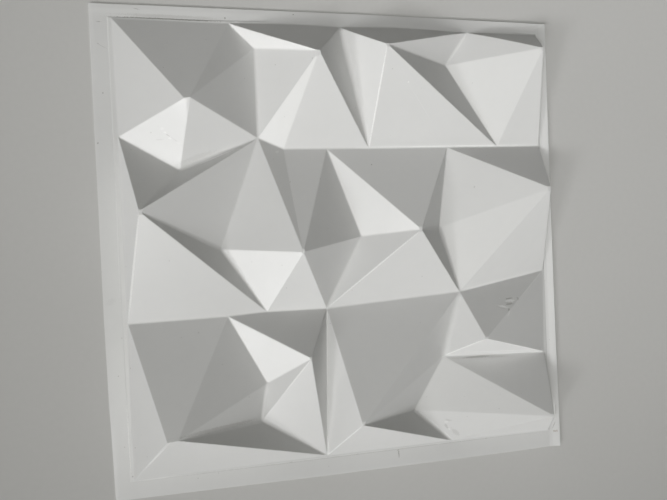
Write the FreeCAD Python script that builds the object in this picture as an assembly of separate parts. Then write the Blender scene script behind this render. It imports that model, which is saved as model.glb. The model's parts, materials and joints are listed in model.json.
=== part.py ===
import FreeCAD, Part
import os

# One sheet of plastic formed over a mould: a flat flange round a square relief of thirteen pyramids.
# The feet of the pyramids are irregular polygons that share their edges, and those edges all lie in
# the plane of the flange, so the pattern is a net of low valleys with a peak inside each mesh.
# The origin is the centre of the underside. X runs along the panel, Y across it, and Z up out of the
# relief.
# All sizes are in millimetres.

# The whole sheet
panel_length = 500.0  # along X
panel_width = 500.0  # along Y
sheet_thickness = 1.0  # measured straight up, so that steep faces are drawn thinner, as on a formed sheet

# The flat flange, wider on two sides
left_flange = 21.0
right_flange = 14.0
lower_flange = 21.0
upper_flange = 14.0

# How far the peaks stand above the flange
tall_peak = 38.0
common_peak = 30.0

# The pattern keeps its proportions on a relief of any size: each point below is given in hundredths of
# the relief's length and width, counted from its lower left corner.
full_side = 100.0
upper_valley = 71.7  # the valley that runs straight across, below the top row

low_points = {
    # corners of the relief
    "lower_left_corner": (0.0, 0.0),
    "lower_right_corner": (full_side, 0.0),
    "upper_right_corner": (full_side, full_side),
    "upper_left_corner": (0.0, full_side),
    # points where a valley meets the flange
    "lower_edge_1": (42.8, 0.0),
    "lower_edge_2": (73.5, 0.0),
    "right_edge_1": (full_side, 20.0),
    "right_edge_2": (full_side, 40.7),
    "right_edge_3": (full_side, upper_valley),
    "upper_edge_3": (81.4, full_side),
    "upper_edge_2": (49.8, full_side),
    "upper_edge_1": (24.6, full_side),
    "left_edge_2": (0.0, 74.6),
    "left_edge_1": (0.0, 34.2),
    # pits of the top row
    "top_pit_1": (30.0, 94.4),
    "top_pit_2": (75.8, 91.6),
    # the valley between the top row and the middle row
    "left_pit": (12.7, 67.2),
    "upper_hub": (30.0, 74.2),
    "upper_valley_1": (35.7, upper_valley),
    "upper_valley_2": (45.7, upper_valley),
    "upper_valley_3": (55.8, upper_valley),
    "upper_valley_4": (75.4, upper_valley),
    "upper_valley_5": (88.6, upper_valley),
    # pits of the middle row
    "middle_pit_1": (20.8, 49.5),
    "middle_pit_2": (53.1, 51.1),
    "middle_pit_3": (72.5, 52.4),
    # the valley between the middle row and the bottom row
    "lower_valley_1": (21.6, 34.4),
    "lower_valley_2": (30.3, 34.5),
    "lower_hub": (44.1, 34.7),
    "lower_valley_3": (77.3, 36.6),
    # pits of the bottom row
    "bottom_pit_1": (29.7, 18.6),
    "bottom_pit_2": (28.0, 10.0),
    "bottom_pit_3": (64.4, 8.8),
    "bottom_pit_4": (72.4, 21.2),
}

# The foot of the whole relief, anticlockwise from its lower left corner
relief_foot = (
    "lower_left_corner", "lower_edge_1", "lower_edge_2", "lower_right_corner", "right_edge_1",
    "right_edge_2", "right_edge_3", "upper_right_corner", "upper_edge_3", "upper_edge_2",
    "upper_edge_1", "upper_left_corner", "left_edge_2", "left_edge_1",
)

# Each pyramid: the place of its peak, how far it rises, and its foot, anticlockwise
pyramids = (
    # top row, from the left
    ((15.8, 81.4), tall_peak,
     ("upper_left_corner", "left_edge_2", "left_pit", "upper_hub", "top_pit_1", "upper_edge_1")),
    ((43.5, 91.3), tall_peak,
     ("upper_edge_1", "top_pit_1", "upper_hub", "upper_valley_1", "upper_valley_2", "upper_valley_3",
      "upper_edge_2")),
    ((58.8, 93.2), tall_peak,
     ("upper_edge_2", "upper_valley_3", "upper_valley_4", "upper_valley_5", "top_pit_2", "upper_edge_3")),
    ((98.1, 94.2), common_peak,
     ("upper_edge_3", "top_pit_2", "upper_valley_5", "right_edge_3", "upper_right_corner")),
    # middle row
    ((4.8, 58.1), common_peak,
     ("left_edge_2", "left_edge_1", "lower_valley_1", "lower_valley_2", "middle_pit_1", "upper_hub",
      "left_pit")),
    ((38.2, 48.2), tall_peak,
     ("upper_hub", "middle_pit_1", "lower_valley_2", "lower_hub", "middle_pit_2", "upper_valley_2",
      "upper_valley_1")),
    ((65.7, 52.1), common_peak,
     ("upper_valley_2", "middle_pit_2", "lower_hub", "lower_valley_3", "middle_pit_3", "upper_valley_4",
      "upper_valley_3")),
    ((99.1, 60.8), common_peak,
     ("upper_valley_4", "middle_pit_3", "lower_valley_3", "right_edge_2", "right_edge_3",
      "upper_valley_5")),
    # bottom row
    ((9.1, 10.5), tall_peak,
     ("left_edge_1", "lower_left_corner", "lower_edge_1", "bottom_pit_2", "bottom_pit_1",
      "lower_valley_1")),
    ((39.2, 24.8), common_peak,
     ("lower_valley_1", "bottom_pit_1", "bottom_pit_2", "lower_edge_1", "lower_hub", "lower_valley_2")),
    ((49.7, 9.5), tall_peak,
     ("lower_hub", "lower_edge_1", "lower_edge_2", "bottom_pit_3", "bottom_pit_4", "lower_valley_3")),
    ((80.8, 25.9), common_peak,
     ("lower_valley_3", "bottom_pit_4", "right_edge_1", "right_edge_2")),
    ((97.9, 5.8), common_peak,
     ("bottom_pit_4", "bottom_pit_3", "lower_edge_2", "lower_right_corner", "right_edge_1")),
)

relief_length = panel_length - left_flange - right_flange
relief_width = panel_width - lower_flange - upper_flange
relief_left = left_flange - panel_length / 2
relief_lower = lower_flange - panel_width / 2


def relief_point(share, height):
    """The point of the relief at a share of its length and width, at a height in millimetres."""
    along, across = share
    x = relief_left + relief_length * along / full_side
    y = relief_lower + relief_width * across / full_side
    return FreeCAD.Vector(x, y, height)


def closed_wire(points):
    """A polygon through the points and back to the first."""
    return Part.makePolygon(list(points) + [points[0]])


def sheet_outline(level):
    """The outer edge of the sheet at a level."""
    half_length = panel_length / 2
    half_width = panel_width / 2
    corners = ((-half_length, -half_width), (half_length, -half_width),
               (half_length, half_width), (-half_length, half_width))
    return [FreeCAD.Vector(x, y, level) for x, y in corners]


def flange_face(level):
    """The flat frame between the sheet's outer edge and the foot of the relief."""
    outer = closed_wire(sheet_outline(level))
    inner = closed_wire([relief_point(low_points[name], level) for name in relief_foot])
    return Part.makeFace([outer, inner], "Part::FaceMakerBullseye")


def pyramid_faces(place, rise, foot, level):
    """The sloping faces of one pyramid that stands on a level: one triangle for each side of its foot."""
    peak = relief_point(place, level + rise)
    ring = [relief_point(low_points[name], level) for name in foot]
    following = ring[1:] + ring[:1]
    return [Part.Face(closed_wire([start, end, peak])) for start, end in zip(ring, following)]


def skin(level):
    """One side of the sheet, with its flange at a level."""
    faces = [flange_face(level)]
    for place, rise, foot in pyramids:
        faces.extend(pyramid_faces(place, rise, foot, level))
    return faces


def rim():
    """The four cut edges of the sheet, one sheet thickness tall."""
    below = sheet_outline(0.0)
    above = sheet_outline(sheet_thickness)
    faces = []
    for side, start in enumerate(below):
        after = (side + 1) % len(below)
        faces.append(Part.Face(closed_wire([start, below[after], above[after], above[side]])))
    return faces


def panel_sheet():
    """The formed sheet: an underside, the same surface one thickness above it, and a rim between them."""
    shell = Part.makeShell(skin(0.0) + skin(sheet_thickness) + rim())
    shell.sewShape()
    solid = Part.makeSolid(shell)
    if solid.Volume < 0:
        solid.reverse()
    return solid.removeSplitter()


os.makedirs("parts", exist_ok=True)
sheet = panel_sheet()
sheet.exportStep("parts/panel_sheet.step")
box = sheet.BoundBox
print("valid", sheet.isValid(), "closed", sheet.isClosed(), "faces", len(sheet.Faces))
print("volume", round(sheet.Volume, 1), "size", box.XLength, box.YLength, box.ZLength)
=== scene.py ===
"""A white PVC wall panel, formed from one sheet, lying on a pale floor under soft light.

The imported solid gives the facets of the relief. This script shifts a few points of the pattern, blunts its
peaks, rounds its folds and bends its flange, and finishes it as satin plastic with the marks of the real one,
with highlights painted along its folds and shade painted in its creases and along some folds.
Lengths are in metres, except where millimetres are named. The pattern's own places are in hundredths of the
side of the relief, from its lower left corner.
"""

import json
import logging
import math
from collections.abc import Callable, Iterator, Mapping
from contextlib import contextmanager
from dataclasses import dataclass, field
from enum import Enum

import bmesh
import bpy
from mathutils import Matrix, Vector

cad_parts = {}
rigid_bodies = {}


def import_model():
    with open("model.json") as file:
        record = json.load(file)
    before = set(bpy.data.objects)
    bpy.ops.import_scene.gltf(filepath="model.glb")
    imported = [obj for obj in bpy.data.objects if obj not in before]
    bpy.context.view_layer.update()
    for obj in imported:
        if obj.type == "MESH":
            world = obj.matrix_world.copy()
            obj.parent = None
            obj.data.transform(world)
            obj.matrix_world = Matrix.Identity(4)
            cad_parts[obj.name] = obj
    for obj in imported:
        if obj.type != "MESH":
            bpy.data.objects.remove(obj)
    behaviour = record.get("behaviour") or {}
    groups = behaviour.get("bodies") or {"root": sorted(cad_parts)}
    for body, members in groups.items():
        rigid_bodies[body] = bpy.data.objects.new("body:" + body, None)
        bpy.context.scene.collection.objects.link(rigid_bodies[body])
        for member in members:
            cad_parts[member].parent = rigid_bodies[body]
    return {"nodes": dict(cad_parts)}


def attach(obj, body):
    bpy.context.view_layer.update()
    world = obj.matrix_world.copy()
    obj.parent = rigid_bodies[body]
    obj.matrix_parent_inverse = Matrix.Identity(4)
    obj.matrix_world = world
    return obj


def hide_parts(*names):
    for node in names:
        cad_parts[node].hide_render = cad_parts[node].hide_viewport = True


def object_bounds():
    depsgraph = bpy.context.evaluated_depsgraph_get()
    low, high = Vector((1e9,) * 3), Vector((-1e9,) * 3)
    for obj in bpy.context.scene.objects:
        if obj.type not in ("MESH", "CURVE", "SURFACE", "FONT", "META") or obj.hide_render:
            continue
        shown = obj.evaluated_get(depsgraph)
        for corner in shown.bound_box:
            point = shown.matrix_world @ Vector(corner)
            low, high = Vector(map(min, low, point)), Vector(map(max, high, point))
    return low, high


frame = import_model()
cad_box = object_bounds()

log = logging.getLogger("wall_panel")

Pair = tuple[float, float]
Pairs = tuple[Pair, ...]
Triple = tuple[float, float, float]
Piece = bpy.types.Object
Face = bmesh.types.BMFace
Edge = bmesh.types.BMEdge
Socket = bpy.types.NodeSocket
Value = float | tuple | Socket

MM = 0.001
RELIEF_CORNER = Vector((-229.0 * MM, -229.0 * MM, 0.0))
HUNDREDTH = 4.65 * MM
HALF_SIDE = cad_box[1][0]
# how far, in millimetres along X, Y and Z, points of the real pattern lie from the solid's
SHIFTS: dict[Pair, Triple] = {
    (24.6, 100.0): (0.0, -1.7, 0.8), (49.8, 100.0): (0.0, -2.4, 3.0), (81.4, 100.0): (0.0, -2.1, 4.0),
    (75.4, 71.7): (0.0, 0.8, 0.0), (88.6, 71.7): (0.0, 1.0, 0.0), (100.0, 71.7): (0.0, 1.5, 0.0),
    (0.0, 74.6): (1.2, 0.0, 0.0), (0.0, 34.2): (1.5, 0.0, 0.0), (30.3, 34.5): (0.0, 1.7, 0.0),
    (42.8, 0.0): (0.0, 1.6, 0.0), (73.5, 0.0): (0.0, 1.3, 0.0), (100.0, 20.0): (-1.6, 0.0, 0.0),
    (99.1, 60.8): (-1.4, 0.0, 0.0), (97.9, 5.8): (-1.2, 0.0, 0.0), (80.8, 25.9): (-0.8, 0.0, 0.0),
}


class Fold(Enum):
    """The kinds of fold in the relief."""

    RIDGE = "ridge"
    VALLEY = "valley"
    FLAT = "flat"


class Tone(Enum):
    """What a mark on the plastic looks like."""

    PALE = "pale"
    GREY = "grey"
    BROWN = "brown"


# Small helpers for edit mode


@contextmanager
def editing(piece: Piece, mode: str = "FACE") -> Iterator[bmesh.types.BMesh]:
    """Opens a piece in edit mode, alone selected and with nothing in it selected, and closes it again.

    Args:
        piece: the mesh object to edit.
        mode: VERT, EDGE or FACE, what the next operators select.

    Yields:
        The piece's mesh, whose changes are kept.
    """
    for other in bpy.context.scene.objects:
        other.select_set(other is piece)
    bpy.context.view_layer.objects.active = piece
    bpy.ops.object.mode_set(mode="EDIT")
    bpy.ops.mesh.select_mode(type=mode)
    bpy.ops.mesh.select_all(action="DESELECT")
    yield bmesh.from_edit_mesh(piece.data)
    bmesh.update_edit_mesh(piece.data)
    bpy.ops.object.mode_set(mode="OBJECT")


def select_faces(piece: Piece, test: Callable[[Face], bool]) -> int:
    """Selects the faces of the piece being edited that pass a test.

    Args:
        piece: the mesh object in edit mode.
        test: says of a face whether it is wanted.

    Returns:
        How many faces were selected.
    """
    shape = bmesh.from_edit_mesh(piece.data)
    wanted = [face for face in shape.faces if test(face)]
    for face in wanted:
        face.select_set(True)
    bmesh.update_edit_mesh(piece.data)
    return len(wanted)


def cut(piece: Piece, through: Vector, normal: Vector,
        test: Callable[[Face], bool]) -> None:
    """Cuts the faces that pass a test along a plane, in edit mode.

    Args:
        piece: the mesh object in edit mode.
        through: a point of the plane.
        normal: the plane's normal.
        test: says of a face whether it is cut.
    """
    bpy.ops.mesh.select_all(action="DESELECT")
    if select_faces(piece, test):
        bpy.ops.mesh.bisect(plane_co=through, plane_no=normal)


def bend(piece: Piece, move: Callable[[Vector], Vector]) -> None:
    """Moves each point of the piece being edited by what a rule gives for its place.

    Args:
        piece: the mesh object in edit mode.
        move: gives the move for a place.
    """
    shape = bmesh.from_edit_mesh(piece.data)
    for point in shape.verts:
        point.co += move(point.co)
    bmesh.update_edit_mesh(piece.data)


def apply_modifier(piece: Piece, kind: str, **settings: object) -> None:
    """Adds a modifier to a piece and applies it.

    Args:
        piece: the mesh object.
        kind: the modifier's type.
        settings: the modifier's own settings by name.
    """
    modifier = piece.modifiers.new(kind.lower(), kind)
    for name, value in settings.items():
        setattr(modifier, name, value)
    bpy.context.view_layer.objects.active = piece
    bpy.ops.object.modifier_apply(modifier=modifier.name)


def between(stations: Pairs, place: float) -> float:
    """Reads a value between stations.

    Args:
        stations: pairs of a place and a value, in the order of the places.
        place: where to read.

    Returns:
        The value there, and the first or last one beyond the ends.
    """
    if place <= stations[0][0]:
        return stations[0][1]
    for (before, low), (after, high) in zip(stations, stations[1:]):
        if place <= after:
            return low + (high - low) * (place - before) / (after - before)
    return stations[-1][1]


def solid_place(along: float, across: float) -> Vector:
    """Gives the place, on the floor, of a point of the solid's pattern in hundredths."""
    return RELIEF_CORNER + HUNDREDTH * Vector((along, across, 0.0))


def relief(along: float, across: float) -> Vector:
    """Gives the place, on the floor, of a point of the real pattern in hundredths."""
    shift = SHIFTS.get((along, across), (0.0, 0.0, 0.0))
    return solid_place(along, across) + MM * Vector((shift[0], shift[1], 0.0))


# Wiring of shader nodes

NUMBER = "NodeSocketFloat"
VECTOR = "NodeSocketVector"


class Wiring:
    """Short calls that fill a node tree."""

    def __init__(self, tree: bpy.types.NodeTree) -> None:
        """Keeps the tree."""
        self.tree = tree

    def feed(self, inlet: Socket, value: Value) -> None:
        """Sets an input to a value, or links it to the socket that gives it."""
        if isinstance(value, Socket):
            self.tree.links.new(value, inlet)
        else:
            inlet.default_value = value

    def node(self, kind: str, given: Mapping[str | int, Value], **settings: object) -> bpy.types.Node:
        """Adds a node.

        Args:
            kind: the node's type.
            given: for each input, a value or the socket that feeds it.
            settings: the node's own settings by name.

        Returns:
            The node.
        """
        made = self.tree.nodes.new(kind)
        for name, setting in settings.items():
            setattr(made, name, setting)
        for name, value in given.items():
            self.feed(made.inputs[name], value)
        return made

    def maths(self, operation: str, *values: Value) -> Socket:
        """Adds a Math node and gives its result."""
        return self.node("ShaderNodeMath", dict(enumerate(values)), operation=operation).outputs[0]

    def product(self, first: Value, second: Value) -> Socket:
        """Multiplies two vectors or colours and gives the result."""
        return self.node("ShaderNodeVectorMath", {0: first, 1: second}, operation="MULTIPLY").outputs["Vector"]

    def noise(self, place: Value, scale: Value, detail: float) -> Socket:
        """Adds a Noise texture and gives its level."""
        return self.node("ShaderNodeTexNoise", {"Vector": place, "Scale": scale, "Detail": detail}).outputs[0]

    def ramp(self, value: Value, start: Value, end: Value, low: Value = 0.0, high: Value = 1.0) -> Socket:
        """Eases a value from one level to another.

        Args:
            value: what is read.
            start: the value that gives the low level.
            end: the value that gives the high level.
            low: the level before the start.
            high: the level after the end.

        Returns:
            The level.
        """
        given = {"Value": value, "From Min": start, "From Max": end, "To Min": low, "To Max": high}
        return self.node("ShaderNodeMapRange", given, interpolation_type="SMOOTHSTEP").outputs["Result"]

    def blend(self, share: Value, first: Value, second: Value) -> Socket:
        """Blends two colours by a share and gives the result."""
        return self.node("ShaderNodeMix", {0: share, 6: first, 7: second}, data_type="RGBA").outputs[2]

    def bump(self, height: Value) -> Socket:
        """Adds a Bump node for a height in metres and gives its normal."""
        return self.node("ShaderNodeBump", {"Height": height, "Distance": 1.0, "Strength": 1.0}).outputs["Normal"]

    def effect(self, effect: "Effect", **given: Value) -> Socket:
        """Adds a group node of an effect, fed with values or sockets, and gives its output."""
        return self.node("ShaderNodeGroup", given, node_tree=effect.tree()).outputs[0]


class Effect:
    """A shader node group, made once and used by any finish."""

    name = "effect"
    takes: Mapping[str, str] = {}
    gives = "Mask"

    def tree(self) -> bpy.types.NodeTree:
        """Gives the group, and makes it the first time.

        Returns:
            The group's node tree.
        """
        if self.name in bpy.data.node_groups:
            return bpy.data.node_groups[self.name]
        tree = bpy.data.node_groups.new(self.name, "ShaderNodeTree")
        for name, kind in self.takes.items():
            tree.interface.new_socket(name, in_out="INPUT", socket_type=kind)
        tree.interface.new_socket(self.gives, in_out="OUTPUT", socket_type=NUMBER)
        inlet = tree.nodes.new("NodeGroupInput")
        wiring = Wiring(tree)
        result = self.fill(wiring, {name: inlet.outputs[name] for name in self.takes})
        wiring.node("NodeGroupOutput", {0: result})
        return tree

    def fill(self, wiring: Wiring, given: dict[str, Socket]) -> Socket:
        """Puts the effect's nodes into its tree.

        Args:
            wiring: the tree's wiring.
            given: the group's inputs by name.

        Returns:
            The socket that the group gives out.
        """
        raise NotImplementedError


class SoftBlotches(Effect):
    """Broad, soft differences, as a factor near one."""

    name = "soft_blotches"
    takes = {"Vector": VECTOR, "Size": NUMBER, "Strength": NUMBER}
    gives = "Factor"

    def fill(self, wiring: Wiring, given: dict[str, Socket]) -> Socket:
        """Puts a noise of the given size about one."""
        noise = wiring.noise(given["Vector"], wiring.maths("DIVIDE", 1.0, given["Size"]), detail=3.0)
        spread = wiring.maths("MULTIPLY", wiring.maths("SUBTRACT", noise, 0.5), given["Strength"])
        return wiring.maths("MULTIPLY_ADD", spread, 2.0, 1.0)


class FineGrain(Effect):
    """The small unevenness of a surface, as a height in metres."""

    name = "fine_grain"
    takes = {"Vector": VECTOR, "Size": NUMBER, "Depth": NUMBER}
    gives = "Height"

    def fill(self, wiring: Wiring, given: dict[str, Socket]) -> Socket:
        """Puts a noise of the given size and depth."""
        noise = wiring.noise(given["Vector"], wiring.maths("DIVIDE", 1.0, given["Size"]), detail=2.0)
        return wiring.maths("MULTIPLY", noise, given["Depth"])


class StraySpecks(Effect):
    """Sparse round specks that lie anywhere, seen from above."""

    name = "stray_specks"
    takes = {"Vector": VECTOR, "Spacing": NUMBER, "Size": NUMBER, "Share": NUMBER}
    least_size = 0.4  # the smallest speck's share of the given size
    core = 0.5  # the share of a speck's radius that is full

    def fill(self, wiring: Wiring, given: dict[str, Socket]) -> Socket:
        """Puts one speck in some of the cells of a plane."""
        scale = wiring.maths("DIVIDE", 1.0, given["Spacing"])
        cells = wiring.node("ShaderNodeTexVoronoi", {"Vector": given["Vector"], "Scale": scale},
                            voronoi_dimensions="2D")
        chance = wiring.node("ShaderNodeSeparateColor", {0: cells.outputs["Color"]})
        radius = wiring.maths("MULTIPLY", given["Size"], wiring.maths("ADD", chance.outputs[1], self.least_size))
        off = wiring.maths("MULTIPLY", cells.outputs["Distance"], given["Spacing"])
        spot = wiring.ramp(off, wiring.maths("MULTIPLY", radius, self.core), radius, 1.0, 0.0)
        wanted = wiring.maths("LESS_THAN", chance.outputs[0], given["Share"])
        return wiring.maths("MULTIPLY", spot, wanted)


class WearAndPaintedLightMark(Effect):
    """One mark at a place, longer one way, with ragged edges, seen from above; used for wear and dirt, and for
    painted highlights and painted shade.
    """

    name = "wear_and_painted_light_mark"
    takes = {"Vector": VECTOR, "Ragged": NUMBER, "Place": VECTOR, "Turn": VECTOR, "Size": VECTOR,
             "Strength": NUMBER}
    softness = 0.19  # half the width of the soft edge, as a share of the size

    def fill(self, wiring: Wiring, given: dict[str, Socket]) -> Socket:
        """Puts an ellipse about the place and roughens its edge."""
        own = wiring.node("ShaderNodeMapping", {"Vector": given["Vector"], "Location": given["Place"],
                                                "Rotation": given["Turn"], "Scale": given["Size"]},
                          vector_type="TEXTURE")
        # this node takes the mapped place as it is; a vector node would overfill the renderer's stack
        inside = wiring.node("ShaderNodeTexGradient", {"Vector": own.outputs[0]}, gradient_type="SPHERICAL")
        edge = wiring.maths("SUBTRACT", given["Ragged"], inside.outputs["Fac"])
        return wiring.ramp(edge, -self.softness, self.softness, given["Strength"], 0.0)


# Marks on the sheet


@dataclass(frozen=True)
class Mark:
    """A mark on the sheet: its place, half sizes and depth in millimetres, and its turn in degrees from X."""

    x: float
    y: float
    length: float
    width: float
    turn: float = 0.0
    strength: float = 0.45
    tone: Tone = Tone.GREY
    depth: float = 0.0
    reach: float = 1.6  # how far the ragged edge reaches, in half sizes

    def shown(self, wiring: Wiring, place: Socket, ragged: Socket) -> Socket:
        """Gives the mark's mask.

        Args:
            wiring: the material's wiring.
            place: the place on the sheet, seen from above.
            ragged: a fine noise that breaks up the edge.

        Returns:
            How much the mark shows at a place.
        """
        return wiring.effect(WearAndPaintedLightMark(), Vector=place, Ragged=ragged, Place=(self.x * MM, self.y * MM, 0.0),
                             Turn=(0.0, 0.0, math.radians(self.turn)),
                             Size=(self.reach * self.length * MM, self.reach * self.width * MM, 1.0),
                             Strength=self.strength)


def pale(x: float, y: float, length: float, width: float, turn: float = 0.0, strength: float = 0.45,
         depth: float = 0.0) -> Mark:
    """Gives a pale mark: where the plastic was stretched or rubbed white, and also a painted highlight along folds
    and at tips.
    """
    return Mark(x, y, length, width, turn, strength, Tone.PALE, depth)


def bright_line(start: Pair, end: Pair, width: float, strength: float, begin: float = 0.0, stop: float = 1.0,
                aside: float = 0.0) -> Mark:
    """Gives the thin bright line along a fold: a painted highlight, partly also the whitening of the stretched
    plastic.

    Args:
        start: one end of the fold, in hundredths.
        end: the other end.
        width: half the line's width, in millimetres.
        strength: how much it shows.
        begin: the share of the fold at which the line starts.
        stop: the share at which it ends.
        aside: how far it lies to the left of the fold, in millimetres.

    Returns:
        The line as a mark.
    """
    fading_ends = 1.1  # the line is longer by this, because it fades at its ends
    first, last = relief(*start) / MM, relief(*end) / MM
    run = last - first
    middle = first + run * (begin + stop) / 2.0 + aside * Vector((-run.y, run.x, 0.0)).normalized()
    length = run.length * (stop - begin) / 2.0
    return pale(middle.x, middle.y, fading_ends * length, width, math.degrees(math.atan2(run.y, run.x)), strength)


def painted_highlights_and_whitening() -> tuple[Mark, ...]:
    """Gives the painted highlights along the folds, at tips and along the foot, partly the whitening of the
    stretched plastic, from the upper left.
    """
    return (
        # a painted highlight along the floor of the valley under the tall upper left peak
        pale(-135.0, 95.7, 23.0, 0.8, 22.6, 1.0),
        bright_line((24.6, 100.0), (43.5, 91.3), 0.7, 0.5, begin=0.55),
        bright_line((58.8, 93.2), (55.8, 71.7), 0.8, 1.0),
        bright_line((81.4, 100.0), (75.8, 91.6), 2.2, 0.5),
        bright_line((81.4, 100.0), (98.1, 94.2), 0.6, 0.5),
        bright_line((98.1, 94.2), (100.0, 71.7), 0.7, 0.5, begin=0.5),
        bright_line((4.8, 58.1), (0.0, 34.2), 1.3, 1.0),
        bright_line((55.8, 71.7), (100.0, 71.7), 0.6, 0.6, aside=1.3),
        bright_line((99.1, 60.8), (100.0, 40.7), 0.7, 0.6),
        bright_line((35.7, 71.7), (38.2, 48.2), 0.5, 0.35),
        bright_line((65.7, 52.1), (44.1, 34.7), 0.9, 1.0),
        bright_line((9.1, 10.5), (0.0, 0.0), 0.9, 0.8, begin=0.05, stop=0.7),
        bright_line((39.2, 24.8), (28.0, 10.0), 0.8, 0.9, stop=0.6),
        bright_line((49.7, 9.5), (42.8, 0.0), 0.7, 0.5),
        bright_line((42.8, 0.0), (44.1, 34.7), 0.8, 0.6, begin=0.04, stop=0.14),
        bright_line((80.8, 25.9), (72.4, 21.2), 0.8, 0.8),
        bright_line((80.8, 25.9), (100.0, 20.0), 0.9, 0.7),
        bright_line((80.8, 25.9), (100.0, 40.7), 0.6, 0.5, begin=0.5),
        bright_line((100.0, 20.0), (72.4, 21.2), 0.6, 0.4, begin=0.1, stop=0.8, aside=-4.0),
        bright_line((64.4, 8.8), (73.5, 0.0), 1.8, 0.6, aside=2.0),
        # small painted highlights on the tips of four peaks
        pale(-187.0, -181.0, 1.3, 1.0, 0.0, 0.8), pale(2.1, -184.8, 1.0, 1.0, 0.0, 0.8),
        pale(-51.4, -4.9, 0.9, 0.9, 0.0, 0.8), pale(225.0, -202.0, 1.0, 1.0, 0.0, 0.8),
        # painted highlights along the foot
        pale(-232.1, -186.4, 42.0, 0.7, 90.7, 0.8), pale(-232.9, 215.1, 23.0, 0.5, 91.0, 0.35),
        pale(-233.1, 12.3, 66.0, 0.5, 89.5, 0.35), pale(-206.5, -229.5, 24.0, 0.8, 1.0, 0.6),
    )


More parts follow.
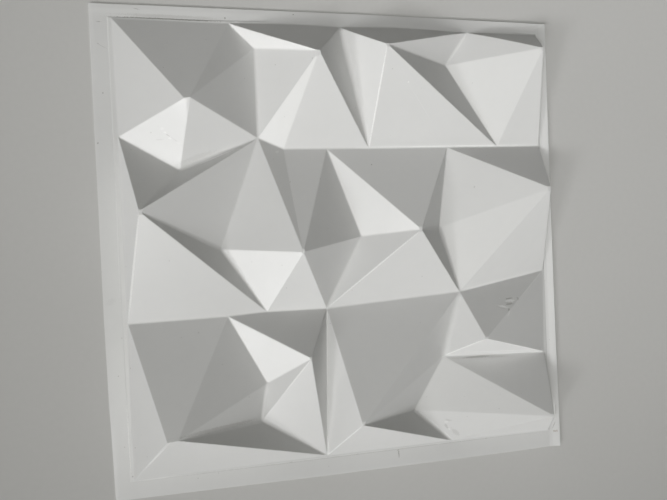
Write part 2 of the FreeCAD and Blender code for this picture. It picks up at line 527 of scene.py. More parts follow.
def handling_marks_and_painted_shade() -> tuple[Mark, ...]:
    """Gives the marks of handling that can be seen on the sheet, and painted shade and shadows in creases, along
    folds, beside a scuff and on the left flange, from the upper left.
    """
    return (
        # specks
        Mark(-117.8, 240.1, 1.0, 0.9, 0.0, 0.8), Mark(-46.6, 246.7, 0.9, 0.7, 0.0, 0.7),
        Mark(-247.2, 112.0, 1.0, 0.7, 40.0, 0.7), Mark(31.3, 85.8, 0.8, 0.8, 0.0, 0.7),
        Mark(-166.6, -234.8, 0.7, 0.7), Mark(-72.1, -17.4, 0.6, 0.6), Mark(-59.0, 68.1, 0.9, 0.5, 60.0),
        Mark(-240.2, 161.6, 0.8, 0.7, 0.0, 0.7), Mark(-233.9, -83.7, 0.7, 0.5), Mark(-239.0, -121.7, 0.7, 0.6),
        Mark(-158.7, -83.1, 0.6, 0.6), Mark(148.9, 58.9, 1.6, 0.8, 60.0, 0.3), Mark(-230.0, -224.4, 1.1, 0.8, 50.0),
        Mark(-225.7, -194.6, 0.6, 0.6), Mark(-236.5, -194.0, 0.6, 0.5), pale(70.1, 170.1, 1.1, 0.9, strength=0.9),
        # dark bits in the foot line
        Mark(-69.6, -230.0, 2.2, 0.6, 8.0), Mark(3.2, -230.2, 1.8, 0.6, 10.0), Mark(156.6, -230.4, 2.4, 0.6, 8.0),
        # painted shade: a dark line in the upper crease at the left, and a soft painted shadow on the flange beyond
        # it
        Mark(-174.0, 236.9, 57.0, 0.9, -0.8, 0.8), Mark(-172.0, 239.4, 57.0, 2.0, -0.8, 0.2),
        # a soft band of painted shadow above the valley under the tall upper left peak, and a dark line of painted
        # shade along the lower crease
        Mark(-150.7, 96.8, 22.0, 2.6, 19.3, 0.16), Mark(20.0, -230.4, 215.0, 0.5, 0.0, 0.3),
        # the rubbed place on the tall peak at the upper left
        Mark(-178.4, 116.3, 2.6, 0.6, -30.3, 0.3), Mark(-170.7, 110.7, 7.0, 0.45, -39.4, 0.15),
        Mark(-194.7, 119.7, 1.2, 0.7, 0.0, 0.25), Mark(-186.8, 113.0, 4.5, 0.7, 0.0, 0.13),
        pale(-181.1, 119.1, 1.7, 0.9, -20.0, 0.5), pale(-176.8, 113.4, 1.7, 1.0, -20.0, 0.45),
        pale(-168.9, 109.0, 2.5, 0.9, -35.7, 0.45), pale(-183.2, 122.4, 2.2, 1.4, 0.0, 0.3),
        # the scuff under the right peak of the middle row
        pale(184.5, -71.7, 6.6, 1.7, 4.8, 1.0, 0.2), pale(174.8, -77.4, 6.0, 1.5, -11.6, 1.0, 0.2),
        # the grey marks among its dented pale strokes are painted shadows of the strokes
        Mark(184.7, -68.9, 5.4, 0.9, 5.8, 0.5), Mark(183.3, -74.8, 5.4, 1.2, 3.9, 0.5),
        Mark(180.9, -80.5, 1.8, 1.0, 40.0, 0.5), pale(180.4, -84.5, 4.6, 1.0, 55.0, 0.6),
        Mark(195.0, -69.5, 1.4, 2.0, 0.0, 0.3), pale(174.3, -68.0, 0.9, 0.9, 0.0, 0.4),
        pale(189.7, -68.3, 1.2, 0.8, 0.0, 0.4),
        # the crinkles above the foot
        Mark(109.1, -202.2, 4.3, 1.4, -14.6, 0.2, depth=0.06), pale(106.7, -204.4, 2.4, 1.0, 0.0, 0.6),
        Mark(107.1, -209.6, 4.2, 1.6, -55.3, 0.28, depth=0.08),
        Mark(117.7, -217.4, 6.6, 2.8, -42.9, 0.2, depth=0.08), pale(110.3, -213.2, 1.6, 0.9, -50.0, 0.6),
        Mark(112.5, -211.5, 1.4, 0.6, -50.0, 0.12),
        # a faint patch of painted shade on the left flange, the scratch, the nick and other small marks on the
        # flange
        pale(-70.2, 101.2, 2.2, 1.6, 20.0, 0.5), Mark(-242.6, -46.8, 6.0, 3.5, 30.0, 0.06),
        pale(86.7, 148.4, 22.0, 0.45, -50.6, 0.22), Mark(50.9, -235.0, 4.8, 0.7, 92.0, 0.7),
        Mark(50.0, -231.6, 1.6, 0.6, 20.0, 0.5), Mark(-238.0, 207.5, 5.5, 0.4, -28.0, 0.25),
        Mark(-242.3, 210.3, 1.2, 0.7, -28.0, 0.35), Mark(-205.0, 246.0, 4.0, 0.4, -12.0),
        # the second mark on the next line is a band of painted shade along the fold from the lower left peak, and
        # the mark after it a painted shadow along the ledge under the lower right pyramid's valley
        Mark(-241.0, 232.0, 3.0, 0.5, 0.0), Mark(-140.6, -178.6, 42.0, 2.6, -0.8, 0.3),
        Mark(149.0, -134.9, 19.0, 0.9, -1.0, 0.35),
        # the strained lower right corner
        Mark(246.0, -205.4, 9.5, 0.5, 88.0, 0.35), Mark(243.2, -224.2, 5.8, 0.5, 67.0, 0.45),
        pale(244.6, -205.0, 9.0, 0.7, 88.0, 0.5), Mark(244.0, -231.4, 2.8, 1.1, 0.0, 0.4, Tone.BROWN),
        Mark(246.6, -231.0, 0.9, 1.6, 0.0, 0.4, Tone.BROWN),
    )


# Finishes


@dataclass(frozen=True)
class Finish:
    """A finish: a colour and a roughness that vary softly, over a fine grain.

    Blotches and grains are pairs: a size, and a strength or a depth.
    """

    name: str
    colour: Triple
    roughness: float
    broad_blotches: Pair
    small_blotches: Pair
    rough_blotches: Pair
    grains: Pairs

    def looks(self, wiring: Wiring, place: Socket) -> dict[str, Value]:
        """Makes the colour, the roughness and the height of the surface.

        Args:
            wiring: the material's wiring.
            place: the place on the piece.

        Returns:
            What feeds the shader's inputs, by their names, and the height in metres under Height.
        """
        broad, small, rough = (wiring.effect(SoftBlotches(), Vector=place, Size=size, Strength=strength)
                               for size, strength in (self.broad_blotches, self.small_blotches, self.rough_blotches))
        tone = wiring.maths("MULTIPLY", broad, small)
        tint = wiring.node("ShaderNodeCombineXYZ", {0: tone, 1: tone, 2: tone}).outputs[0]
        height: Value = 0.0
        for size, depth in self.grains:
            height = wiring.maths("ADD", height, wiring.effect(FineGrain(), Vector=place, Size=size, Depth=depth))
        return {"Base Color": wiring.product(self.colour, tint), "Height": height,
                "Roughness": wiring.maths("MULTIPLY", rough, self.roughness)}

    def material(self) -> bpy.types.Material:
        """Builds the finish.

        Returns:
            The material, with its own nodes.
        """
        made = bpy.data.materials.new(self.name)
        made.use_nodes = True
        wiring = Wiring(made.node_tree)
        shader = made.node_tree.nodes["Principled BSDF"]
        place = wiring.node("ShaderNodeTexCoord", {}).outputs["Object"]
        looks = self.looks(wiring, place)
        looks["Normal"] = wiring.bump(looks.pop("Height"))
        for name, value in looks.items():
            wiring.feed(shader.inputs[name], value)
        return made


@dataclass(frozen=True)
class SheetPlastic(Finish):
    """Satin white PVC, the same all through the sheet, with the marks of its handling and painted highlights and
    shade.
    """

    name: str = "satin_white_pvc"
    colour: Triple = (0.80, 0.80, 0.792)
    roughness: float = 0.36
    broad_blotches: Pair = (110.0 * MM, 0.035)
    small_blotches: Pair = (9.0 * MM, 0.012)
    rough_blotches: Pair = (25.0 * MM, 0.16)
    grains: Pairs = ((0.9 * MM, 0.006 * MM), (22.0 * MM, 0.12 * MM))
    refraction: float = 1.53
    # the pale colour serves whitened plastic and the painted highlights, the grey one dirt and the painted shade
    pale: Triple = (0.97, 0.97, 0.96)
    grey: Triple = (0.33, 0.32, 0.30)
    brown: Triple = (0.30, 0.19, 0.11)
    mark_roughness: float = 0.35  # what a mark adds
    mark_edge_scale: float = 900.0  # of the noise that breaks up the edges of the marks
    speck_spacing: float = 38.0 * MM
    speck_size: float = 0.45 * MM
    speck_share: float = 0.45  # how many of the places for a speck have one
    speck_strength: float = 0.5
    marks: tuple[Mark, ...] = field(default_factory=lambda: painted_highlights_and_whitening() + handling_marks_and_painted_shade())

    def mask(self, wiring: Wiring, place: Socket, ragged: Socket, tone: Tone) -> Value:
        """Joins the marks of one tone.

        Args:
            wiring: the material's wiring.
            place: the place on the sheet, seen from above.
            ragged: a fine noise that breaks up the edges.
            tone: which marks.

        Returns:
            How much the tone shows at a place.
        """
        whole: Value = 0.0
        for mark in self.marks:
            if mark.tone is tone:
                whole = wiring.maths("MAXIMUM", whole, mark.shown(wiring, place, ragged))
        return whole

    def looks(self, wiring: Wiring, place: Socket) -> dict[str, Value]:
        """Adds the marks and stray specks to the plain finish.

        Args:
            wiring: the material's wiring.
            place: the place on the sheet.

        Returns:
            What feeds the shader's inputs, by their names, and the height in metres under Height.
        """
        looks = super().looks(wiring, place)
        level = wiring.product(place, (1.0, 1.0, 0.0))
        ragged = wiring.noise(place, self.mark_edge_scale, detail=3.0)
        whitening_and_highlights, greyed_dirt_and_shade, browned = (self.mask(wiring, level, ragged, tone)
                                     for tone in (Tone.PALE, Tone.GREY, Tone.BROWN))
        specks = wiring.effect(StraySpecks(), Vector=place, Spacing=self.speck_spacing, Size=self.speck_size,
                               Share=self.speck_share)
        dirt_specks_and_shade = wiring.maths("MAXIMUM", greyed_dirt_and_shade, wiring.maths("MULTIPLY", specks, self.speck_strength))
        # the pale share holds painted highlights as well as whitened plastic, and the grey share painted shade as
        # well as dirt
        for share, colour in ((whitening_and_highlights, self.pale), (dirt_specks_and_shade, self.grey), (browned, self.brown)):
            looks["Base Color"] = wiring.blend(share, looks["Base Color"], (*colour, 1.0))
        marked = wiring.maths("MAXIMUM", whitening_and_highlights, greyed_dirt_and_shade)
        looks["Roughness"] = wiring.maths("MULTIPLY_ADD", marked, self.mark_roughness, looks["Roughness"])
        for mark in self.marks:
            if mark.depth:
                shown = mark.shown(wiring, level, ragged)
                looks["Height"] = wiring.maths("MULTIPLY_ADD", shown, -mark.depth * MM, looks["Height"])
        return {**looks, "IOR": self.refraction}


@dataclass(frozen=True)
class FloorPaint(Finish):
    """The plain pale floor of the studio."""

    name: str = "pale_floor"
    colour: Triple = (0.66, 0.655, 0.64)
    roughness: float = 0.8
    broad_blotches: Pair = (400.0 * MM, 0.03)
    small_blotches: Pair = (6.0 * MM, 0.02)
    rough_blotches: Pair = (50.0 * MM, 0.1)
    grains: Pairs = ((2.0 * MM, 0.03 * MM),)


# The sheet


@dataclass(frozen=True)
class SoftFold:
    """A fold that the mould left rounder than the rest, by its ends in hundredths.

    Its widths are in millimetres, from the fold to the edge of its round, at the start and at the end.
    """

    start: Pair
    end: Pair
    start_width: float
    end_width: float
    past_end: float = 0.03  # how far past an end a point of the fold may lie, as a share of its length
    off_line: float = 1.5 * MM  # how far off its line a point of the fold may lie

    def share(self, place: Vector) -> float | None:
        """Tells how far along the fold a place is.

        Args:
            place: a point of the skin.

        Returns:
            Its share of the way from start to end, or None where it is off the fold's line.
        """
        start, end = relief(*self.start), relief(*self.end)
        run = end - start
        flat = Vector((place.x, place.y, 0.0)) - start
        share = flat.dot(run) / run.length_squared
        if -self.past_end < share < 1.0 + self.past_end and (flat - share * run).length < self.off_line:
            return share
        return None

    def width(self, edge: Edge) -> float | None:
        """Tells how widely an edge of the skin is rounded if it lies along this fold.

        Args:
            edge: an edge of the skin.

        Returns:
            The width at the edge's wider end, or None where it is no part of the fold.
        """
        shares = [self.share(point.co) for point in edge.verts]
        if None in shares:
            return None
        return MM * max(self.start_width + (self.end_width - self.start_width) * share for share in shares)


@dataclass(frozen=True)
class Tip:
    """A peak that the mould left blunter than the rest, by its place in hundredths.

    Its point is cut off by a plane that leans by so much along X and Y for each unit up. A crest, where there
    is one, is given by its two ends, from the peak.
    """

    place: Pair
    depth: float
    lean: Pair = (0.0, 0.0)
    crest: Pairs = ()
    rim_reach: float = 20.0 * MM  # how far from the peak the rim of its cut may lie

    def blunt(self, skin: Piece, peak: Vector, within: float) -> None:
        """Cuts the point off the peak and closes the cut, or draws it together to a crest.

        Args:
            skin: the upper skin in edit mode.
            peak: where the peak is.
            within: how near two places are the same.
        """
        low = peak - Vector((0.0, 0.0, self.depth))
        bpy.ops.mesh.select_all(action="DESELECT")
        select_faces(skin, lambda face: any((corner.co - peak).length < within for corner in face.verts))
        bpy.ops.mesh.bisect(plane_co=low, plane_no=Vector((*self.lean, 1.0)).normalized(),
                            use_fill=not self.crest, clear_outer=True)
        if not self.crest:
            return
        shape = bmesh.from_edit_mesh(skin.data)
        ends = [low + Vector((*end, 0.0)) for end in self.crest]
        rim = [point for point in shape.verts if point.is_boundary and (point.co - low).length < self.rim_reach]
        for point in rim:
            point.co = min(ends, key=lambda end: (end - point.co).length)
        bmesh.ops.remove_doubles(shape, verts=rim, dist=within)
        bmesh.update_edit_mesh(skin.data)


@dataclass(frozen=True)
class Swell:
    """A low swell or ledge beside a valley, where the sheet didn't lie quite against the mould.

    It lies to the left of the way from start to end. Its profile is a row of pairs in millimetres: the distance
    from the valley, and how far the sheet stands off there. Its stations are pairs too: the share of the way
    along the valley, and the share of the full height.
    """

    start: Pair
    end: Pair
    profile: Pairs
    stations: Pairs
    touch: float = 0.1 * MM  # a face that lies no further than this into the swell isn't cut
    end_share: float = 0.01  # nor is one that lies within this share of an end

    def form(self, skin: Piece) -> None:
        """Cuts lines along and across the swell, and lifts its points.

        Args:
            skin: the upper skin in edit mode.
        """
        start, end = relief(*self.start), relief(*self.end)
        run = end - start
        across = Vector((-run.y, run.x, 0.0)).normalized()
        reach = self.profile[-1][0] * MM

        def where(place: Vector) -> Pair:
            """Gives a place's distance from the valley and its share of the way."""
            flat = Vector((place.x, place.y, 0.0)) - start
            return flat.dot(across), flat.dot(run) / run.length_squared

        def inside(face: Face) -> bool:
            """Tells whether any of a face lies in the swell."""
            spots = [where(corner.co) for corner in face.verts]
            offs, shares = zip(*spots)
            return (max(offs) > self.touch and min(offs) < reach
                    and max(shares) > self.end_share and min(shares) < 1.0 - self.end_share)

        def lift(place: Vector) -> Vector:
            """Gives the lift of a place."""
            off, share = where(place)
            if not (0.0 < off < reach and 0.0 < share < 1.0):
                return Vector()
            full = between(((0.0, 0.0), *self.profile), off / MM) * MM
            return Vector((0.0, 0.0, full * between(self.stations, share)))

        for distance, _ in self.profile:
            cut(skin, start + distance * MM * across, across, inside)
        for share, _ in self.stations:
            cut(skin, start + share * run, run.normalized(), inside)
        bend(skin, lift)


@dataclass(frozen=True)
class Hem:
    """The flange: its outline, its slight waves, the step at the relief's foot and its bent edges."""

    # how far, in millimetres, the outer edge lies inside the straight outline, by stations along each side
    left: Pairs = ((-0.25, 2.6), (-0.2, 2.0), (-0.15, 0.8), (-0.06, 0.0), (0.25, 0.3))
    right: Pairs = ((-0.25, 0.2), (-0.19, 0.5), (-0.12, 1.6), (0.02, 2.2), (0.25, 2.2))
    lower: Pairs = ((-0.25, 2.2), (-0.15, 1.4), (-0.03, 0.3), (0.2, 0.0), (0.25, 0.9))
    upper: Pairs = ((-0.25, 0.2), (0.05, 0.0), (0.12, 0.9), (0.2, 2.0), (0.25, 2.6))
    draw_from: float = 238.0 * MM  # how far from the middle that begins
    # how far, in millimetres, the upper foot bulges out between the valleys, by stations along X
    bulge: Pairs = (
        (-0.229, 0.0), (-0.125, 0.1), (-0.1, 0.6), (-0.062, 1.7), (-0.025, 1.7), (0.003, 0.5), (0.03, 1.5),
        (0.062, 2.3), (0.095, 1.6), (0.125, 0.0), (0.149, -1.0), (0.175, -0.4), (0.236, -1.2))
    # how much of the bulge there is, by stations along Y
    bulge_hold: Pairs = ((0.226, 0.0), (0.234, 1.0), (0.241, 1.0), (0.248, 0.0))
    # the crease at the foot of the relief, as a rectangle
    foot_low: Pair = (-232.7 * MM, -230.0 * MM)
    foot_high: Pair = (237.7 * MM, 237.2 * MM)
    # the small step at the foot: distance out from the crease, and height
    step: Pairs = ((-0.9 * MM, 0.5 * MM), (-0.6 * MM, 0.42 * MM), (0.0, 0.04 * MM), (0.4 * MM, 0.0))
    # how the right side curls up towards its edge: distance out from the crease, and height
    curl: Pairs = ((0.0, 0.0), (4.0 * MM, 0.6 * MM), (8.0 * MM, 1.6 * MM), (12.0 * MM, 3.0 * MM))
    # the share of that by which the upper side curls up, by stations along X
    upper_curl: Pairs = ((-0.25, 0.3), (0.1, 0.35), (0.25, 0.8))
    edge_width: float = 4.0 * MM  # all but this much of the flange stands higher
    edge_drop: float = 0.35 * MM
    flange_top: float = 2.0 * MM  # a face with its middle below this may belong to the flange
    grid_step: float = 12.5 * MM
    grid_shift: float = 0.31  # in steps, so that no line of the grid meets a point of the pattern
    wave_height: float = 0.5 * MM
    wave_length: float = 90.0 * MM

    def beyond_foot(self, place: Vector) -> float:
        """Tells how far a place is outside the foot's rectangle, or, below zero, inside it."""
        bulge = between(self.bulge, place.x) * MM
        return max(self.foot_low[0] - place.x, place.x - self.foot_high[0],
                   self.foot_low[1] - place.y, place.y - self.foot_high[1] - bulge)

    def spread_foot(self, place: Vector) -> Vector:
        """Gives the move that bulges the upper foot out between the valleys."""
        return Vector((0.0, between(self.bulge_hold, place.y) * between(self.bulge, place.x) * MM, 0.0))

    def rise(self, place: Vector) -> Vector:
        """Gives the rise of a place: the step at the foot, the curl of two sides, and what the edge lacks."""
        step = between(self.step, self.beyond_foot(place))
        upper_curl = between(self.curl, place.y - self.foot_high[1] - MM) * between(self.upper_curl, place.x)
        curl = max(between(self.curl, place.x - self.foot_high[0]), upper_curl)
        off_edge = HALF_SIDE - max(abs(place.x), abs(place.y))
        drop = between(((0.0, 0.0), (self.edge_width, self.edge_drop)), off_edge)
        return Vector((0.0, 0.0, step + curl + drop))

    def draw_in(self, place: Vector) -> Vector:
        """Gives the move that draws the outer edge in from the straight outline."""
        reach = HALF_SIDE - self.draw_from
        share = [max(0.0, (abs(way) - self.draw_from) / reach) for way in (place.x, place.y)]
        across = between(self.left if place.x < 0.0 else self.right, place.y) * MM
        along = between(self.lower if place.y < 0.0 else self.upper, place.x) * MM
        return Vector((-math.copysign(across * share[0], place.x), -math.copysign(along * share[1], place.y), 0.0))

    def form(self, skin: Piece) -> None:
        """Cuts the skin where it bends, and bends it.

        Args:
            skin: the upper skin in edit mode.
        """
        steps = int(HALF_SIDE // self.grid_step)
        for number, axis in enumerate((Vector((1.0, 0.0, 0.0)), Vector((0.0, 1.0, 0.0)))):
            lines = [side * (HALF_SIDE - self.edge_width) for side in (-1.0, 1.0)]
            for distance, _ in self.step:
                lines += [self.foot_low[number] - distance, self.foot_high[number] + distance]
            lines += [self.foot_high[number] + distance for distance, _ in self.curl[1:-1]]
            for line in lines:
                cut(skin, line * axis, axis, lambda face: face.calc_center_median().z < self.flange_top)
            for step in range(-steps, steps + 1):
                cut(skin, (step + self.grid_shift) * self.grid_step * axis, axis, lambda face: True)
        bend(skin, self.spread_foot)
        bend(skin, self.rise)
        bend(skin, self.draw_in)

    def wave(self, skin: Piece) -> None:
        """Gives all of the skin but its edge slight waves.

        Args:
            skin: the upper skin in object mode.
        """
        inner = skin.vertex_groups.new(name="inside_the_edge")
        inner.add([point.index for point in skin.data.vertices
                   if max(abs(point.co.x), abs(point.co.y)) < HALF_SIDE - self.edge_width], 1.0, "REPLACE")
        waves = bpy.data.textures.new("slight_waves", "CLOUDS")
        waves.noise_scale = self.wave_length
        waves.noise_depth = 1
        apply_modifier(skin, "DISPLACE", texture=waves, texture_coords="LOCAL", direction="Z",
                       strength=self.wave_height, mid_level=0.5, vertex_group=inner.name)


@dataclass
class FormedSheet:
    """The formed sheet: the solid's facets with rounded folds, one sheet thickness through."""

    node: str = "panel_sheet"
    thickness: float = 1.0 * MM
    tip_cut: float = 1.0 * MM  # how much of a peak is missing
    blunt_tips: tuple[Tip, ...] = (
        Tip((9.1, 10.5), 1.9 * MM, crest=((-3.4 * MM, -1.3 * MM), (6.6 * MM, -0.3 * MM))),
        Tip((15.8, 81.4), 1.4 * MM, crest=((-4.0 * MM, -2.4 * MM), (1.4 * MM, -1.4 * MM))),
        Tip((43.5, 91.3), 1.3 * MM, lean=(-0.14, -0.1)),
        Tip((39.2, 24.8), 1.0 * MM, lean=(0.1, 0.0)),
    )
    tip_round: float = 0.35 * MM
    tip_length: float = 6.0 * MM  # how far from a peak its folds stay tighter
    split_reach: float = 2.0  # in tip lengths, how near its peak a fold is split
    tight_reach: float = 2.5  # in tip lengths, how near a peak an edge keeps the tip's round
    widest_round: float = 12.0 * MM
    valley_width: float = 1.2 * MM  # from a fold to the edge of its round
    ridge_width: float = 0.75 * MM
    round_steps: int = 4
    soft_pieces: int = 6
    soft_folds: tuple[SoftFold, ...] = (
        SoftFold((30.0, 94.4), (30.0, 74.2), 2.0, 2.0), SoftFold((9.1, 10.5), (28.0, 10.0), 0.8, 2.6),
        SoftFold((29.7, 18.6), (28.0, 10.0), 3.0, 2.6), SoftFold((77.3, 36.6), (72.4, 21.2), 4.0, 6.0),
        SoftFold((15.8, 81.4), (30.0, 94.4), 5.0, 12.0), SoftFold((49.8, 100.0), (55.8, 71.7), 5.0, 2.0),
        SoftFold((65.7, 52.1), (72.5, 52.4), 0.8, 5.0), SoftFold((4.8, 58.1), (12.7, 67.2), 0.8, 3.0),
        SoftFold((12.7, 67.2), (30.0, 74.2), 3.5, 1.2), SoftFold((53.1, 51.1), (44.1, 34.7), 2.2, 2.6),
        SoftFold((20.8, 49.5), (30.3, 34.5), 2.6, 1.2), SoftFold((72.5, 52.4), (77.3, 36.6), 4.0, 1.6),
        SoftFold((64.4, 8.8), (73.5, 0.0), 3.0, 2.0), SoftFold((44.1, 34.7), (42.8, 0.0), 1.0, 2.4),
        SoftFold((4.8, 58.1), (20.8, 49.5), 0.8, 3.0), SoftFold((15.8, 81.4), (24.6, 100.0), 0.8, 2.4),
    )
    swells: tuple[Swell, ...] = (
        # the bright strip along the straight upper valley
        Swell((35.7, 71.7), (100.0, 71.7),
              ((1.2, 0.25), (2.6, 0.45), (5.0, 0.25), (9.0, 0.0)),
              ((0.26, 0.0), (0.32, 1.0), (0.94, 1.0), (0.99, 0.0))),
        # the ledge under the lower right pyramid's valley
        Swell((100.0, 20.0), (72.4, 21.2),
              ((1.1, -0.6), (2.2, -1.3), (3.4, 0.5), (5.0, 0.35), (9.0, 0.0)),
              ((0.3, 0.0), (0.42, 0.4), (0.52, 0.9), (0.62, 1.0), (0.72, 1.0), (0.8, 0.6), (0.92, 0.0))),
        # its bright upper side
        Swell((72.4, 21.2), (100.0, 20.0),
              ((1.6, 0.35), (3.2, 0.5), (6.0, 0.25), (9.0, 0.0)),
              ((0.05, 0.0), (0.15, 1.0), (0.5, 1.0), (0.9, 0.8), (0.97, 0.0))),
        Swell((77.3, 36.6), (100.0, 40.7),
              ((1.4, 0.3), (3.0, 0.45), (6.0, 0.2), (10.0, 0.0)),
              ((0.05, 0.0), (0.15, 1.0), (0.85, 1.0), (0.97, 0.0))),
    )
    hem: Hem = field(default_factory=Hem)
    merge_within: float = 0.001 * MM
    same_point: float = 0.1 * MM  # how near a point of the skin is to its place in the pattern
    flat_within: float = math.radians(0.3)
    smooth_within: float = math.radians(40.0)
    finish: SheetPlastic = field(default_factory=SheetPlastic)
    skin: Piece = field(init=False)  # the sheet as it is made, open until it is thickened
    peaks: list[Vector] = field(init=False)  # where the peaks were before they were blunted

    def fold_kind(self, edge: Edge) -> Fold:
        """Tells what kind of fold an edge of the upper skin is.

        Args:
            edge: an edge of the skin.

        Returns:
            RIDGE or VALLEY, or FLAT for an outer edge or one between faces in line.
        """
        if len(edge.link_faces) < 2 or abs(edge.calc_face_angle_signed()) < self.flat_within:
            return Fold.FLAT
        return Fold.RIDGE if edge.calc_face_angle_signed() > 0 else Fold.VALLEY

    def copy_upper_skin(self) -> None:
        """Copies the solid's upper faces, as whole facets."""
        solid = frame["nodes"][self.node]
        self.skin = bpy.data.objects.new("formed_sheet", solid.data.copy())
        bpy.context.scene.collection.objects.link(self.skin)
        self.skin.data.materials.clear()
        with editing(self.skin):
            bpy.ops.mesh.select_all(action="SELECT")
            bpy.ops.mesh.remove_doubles(threshold=self.merge_within)
            bpy.ops.mesh.select_all(action="DESELECT")
            select_faces(self.skin, lambda face: face.normal.z <= self.flat_within)
            bpy.ops.mesh.delete(type="FACE")
            bpy.ops.mesh.select_all(action="SELECT")
            bpy.ops.mesh.dissolve_limited(angle_limit=self.flat_within)

    def shift_points(self) -> None:
        """Moves the points of the pattern that lie a little off the solid's."""
        with editing(self.skin, "VERT") as shape:
            for place, shift in SHIFTS.items():
                there = solid_place(*place)
                for point in shape.verts:
                    if math.hypot(point.co.x - there.x, point.co.y - there.y) < self.same_point:
                        point.co += MM * Vector(shift)

    def tip_at(self, peak: Vector) -> Tip:
        """Finds how a peak is blunted."""
        for tip in self.blunt_tips:
            spot = relief(*tip.place)
            if math.hypot(peak.x - spot.x, peak.y - spot.y) < self.same_point:
                return tip
        return Tip((0.0, 0.0), self.tip_cut)

    def blunt(self) -> None:
        """Blunts every peak, and keeps where the peaks were."""
        with editing(self.skin) as shape:
            self.peaks = [point.co.copy() for point in shape.verts if all(
                edge.other_vert(point).co.z < point.co.z - self.tip_cut for edge in point.link_edges)]
            for peak in self.peaks:
                self.tip_at(peak).blunt(self.skin, peak, self.merge_within)

    def split_folds(self) -> None:
        """Splits the folds where their rounding changes: near a peak, and along a soft fold."""
        near = self.split_reach * self.tip_length
        with editing(self.skin, "EDGE") as shape:
            for edge in list(shape.edges):
                if any(fold.width(edge) is not None for fold in self.soft_folds):
                    bmesh.ops.subdivide_edges(shape, edges=[edge], cuts=self.soft_pieces - 1)
            for edge in list(shape.edges):
                low, high = sorted(edge.verts, key=lambda point: point.co.z)
                by_peak = any((high.co - peak).length < near for peak in self.peaks)
                if by_peak and high.co.z - low.co.z > self.tip_cut and edge.calc_length() > near:
                    bmesh.utils.edge_split(edge, high, self.tip_length / edge.calc_length())

    def round_width(self, edge: Edge) -> float:
        """Says how widely an edge of the skin is rounded.

        Args:
            edge: an edge of the skin.

        Returns:
            The distance from the fold to the edge of its round.
        """
        kind = self.fold_kind(edge)
        if kind is Fold.FLAT:
            return 0.0
        near = self.tight_reach * self.tip_length
        if any(all((point.co - peak).length < near for point in edge.verts) for peak in self.peaks):
            return self.tip_round
        for fold in self.soft_folds:
            width = fold.width(edge)
            if width is not None:
                return width
        return self.ridge_width if kind is Fold.RIDGE else self.valley_width

    def round_folds(self) -> None:
        """Rounds the ridges tightly, the valleys more widely, and the soft folds by their own widths."""
        with editing(self.skin, "EDGE") as shape:
            weights = shape.edges.layers.float.new("bevel_weight_edge")
            for edge in shape.edges:
                edge[weights] = self.round_width(edge) / self.widest_round
        apply_modifier(self.skin, "BEVEL", limit_method="WEIGHT", offset_type="OFFSET", width=self.widest_round,
                       segments=self.round_steps, use_clamp_overlap=False)

    def bend(self) -> None:
        """Lifts the swells beside the valleys, and gives the flange its bends and waves."""
        with editing(self.skin):
            for swell in self.swells:
                swell.form(self.skin)
            self.hem.form(self.skin)
        self.hem.wave(self.skin)

    def thicken(self) -> None:
        """Gives the skin its thickness, straight down, and its cut edge."""
        with editing(self.skin):
            bpy.ops.mesh.select_all(action="SELECT")
            bpy.ops.mesh.extrude_region_move(TRANSFORM_OT_translate={"value": (0, 0, -self.thickness)})
            bpy.ops.mesh.select_all(action="SELECT")
            bpy.ops.mesh.normals_make_consistent(inside=False)

    def smooth(self) -> None:
        """Shades the rounds smooth, and keeps the facets flat and the cut edge sharp."""
        bpy.ops.object.shade_smooth_by_angle(angle=self.smooth_within)
        apply_modifier(self.skin, "WEIGHTED_NORMAL", mode="FACE_AREA", weight=100, keep_sharp=True)

    def build(self) -> Piece:
        """Makes the sheet and dresses it.

        Returns:
            The finished piece.
        """
        self.copy_upper_skin()
        self.shift_points()
        self.blunt()
        self.split_folds()
        self.round_folds()
        self.bend()
        self.thicken()
        self.smooth()
        sheet = self.skin
        sheet.data.materials.append(self.finish.material())
        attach(sheet, "root")
        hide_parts(self.node)
        return sheet


# The studio


def direction(turn: float, climb: float) -> Vector:
    """Gives the unit vector at a turn about the vertical and a climb above the floor.

    Args:
        turn: degrees from X towards Y.
        climb: degrees above the floor.

    Returns:
        The vector.
    """
    level = math.cos(math.radians(climb))
    return Vector((level * math.cos(math.radians(turn)), level * math.sin(math.radians(turn)),
                   math.sin(math.radians(climb))))


@dataclass(frozen=True)
class Lamp:
    """A square soft light with a hood, aimed past the panel so that the far side is lit a little more."""

    name: str
    turn: float  # degrees from X towards Y, seen from the panel
    climb: float  # degrees above the floor
    power: float
    distance: float = 3.0
    width: float = 0.7
    spread: float = 60.0  # degrees
    aimed_past: float = 20.0  # degrees
    colour: Triple = (1.0, 1.0, 1.0)

    def hang(self) -> Piece:
        """Makes the light.

        Returns:
            The light's object.
        """
        data = bpy.data.lights.new(self.name, "AREA")
        data.shape = "SQUARE"
        data.size = self.width
        data.spread = math.radians(self.spread)
        data.energy = self.power
        data.color = self.colour
        lamp = bpy.data.objects.new(self.name, data)
        bpy.context.scene.collection.objects.link(lamp)
        lamp.location = direction(self.turn, self.climb) * self.distance
        aim = -direction(self.turn, self.climb - self.aimed_past)
        lamp.rotation_euler = aim.to_track_quat("-Z", "Y").to_euler()
        return lamp


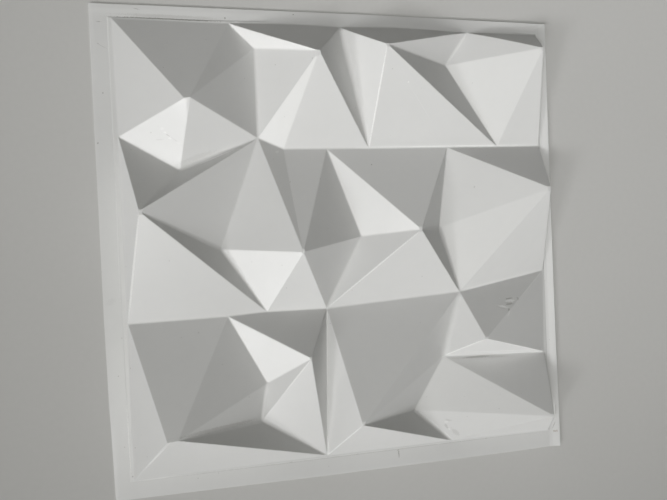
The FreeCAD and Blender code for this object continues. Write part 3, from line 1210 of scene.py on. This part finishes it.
@dataclass
class Studio:
    """The floor, the lights and the camera."""

    floor_size: float = 2.0
    floor_finish: FloorPaint = field(default_factory=FloorPaint)
    sky: Triple = (1.0, 1.0, 0.93)
    sky_strength: float = 0.02
    backdrop_strength: float = 0.36  # what the camera sees beyond the floor
    lens: float = 27.53  # in millimetres, on a sensor 36 mm wide
    camera_place: Triple = (-0.1185, 0.0056, 0.5444)
    camera_turn: Triple = (-0.62, -10.97, -2.46)  # in degrees about X, Y and Z
    lamps: tuple[Lamp, ...] = (
        Lamp("key_light", 241.0, 35.0, 6.7),
        Lamp("high_light", 229.0, 57.0, 5.8),
        Lamp("low_light", 217.0, 27.0, 5.5),
        Lamp("ceiling_light", 225.0, 75.0, 15.4, width=1.0, spread=180.0, aimed_past=0.0, colour=(1.0, 1.0, 0.93)),
    )

    def lay_floor(self) -> Piece:
        """Makes the floor that the panel lies on.

        Returns:
            The floor.
        """
        bpy.ops.object.select_all(action="DESELECT")
        bpy.ops.mesh.primitive_plane_add(size=self.floor_size, location=(0, 0, 0))
        floor = bpy.context.active_object
        floor.name = "floor"
        floor.data.materials.append(self.floor_finish.material())
        return floor

    def light_sky(self) -> None:
        """Gives the room its even light."""
        world = bpy.data.worlds.new("room_light")
        bpy.context.scene.world = world
        world.use_nodes = True
        wiring = Wiring(world.node_tree)
        background = world.node_tree.nodes["Background"]
        background.inputs["Color"].default_value = (*self.sky, 1.0)
        seen = wiring.node("ShaderNodeLightPath", {}).outputs["Is Camera Ray"]
        strength = wiring.maths("MULTIPLY_ADD", seen, self.backdrop_strength - self.sky_strength, self.sky_strength)
        world.node_tree.links.new(strength, background.inputs["Strength"])

    def place_camera(self) -> Piece:
        """Makes the camera where the photograph was taken, and makes it the scene's camera.

        Returns:
            The camera's object.
        """
        data = bpy.data.cameras.new("camera")
        data.lens = self.lens
        camera = bpy.data.objects.new("camera", data)
        bpy.context.scene.collection.objects.link(camera)
        camera.location = self.camera_place
        camera.rotation_euler = [math.radians(turn) for turn in self.camera_turn]
        bpy.context.scene.camera = camera
        return camera

    def build(self) -> None:
        """Makes the whole studio."""
        self.lay_floor()
        self.light_sky()
        for lamp in self.lamps:
            lamp.hang()
        self.place_camera()
        bpy.context.scene.view_settings.view_transform = "Standard"


def main() -> None:
    """Builds the sheet and the studio, and reports each piece."""
    logging.basicConfig(level=logging.INFO, format="%(name)s: %(message)s")
    sheet = FormedSheet().build()
    log.info("%s: %d faces", sheet.name, len(sheet.data.polygons))
    Studio().build()
    log.info("studio ready")


if __name__ == "__main__":
    main()
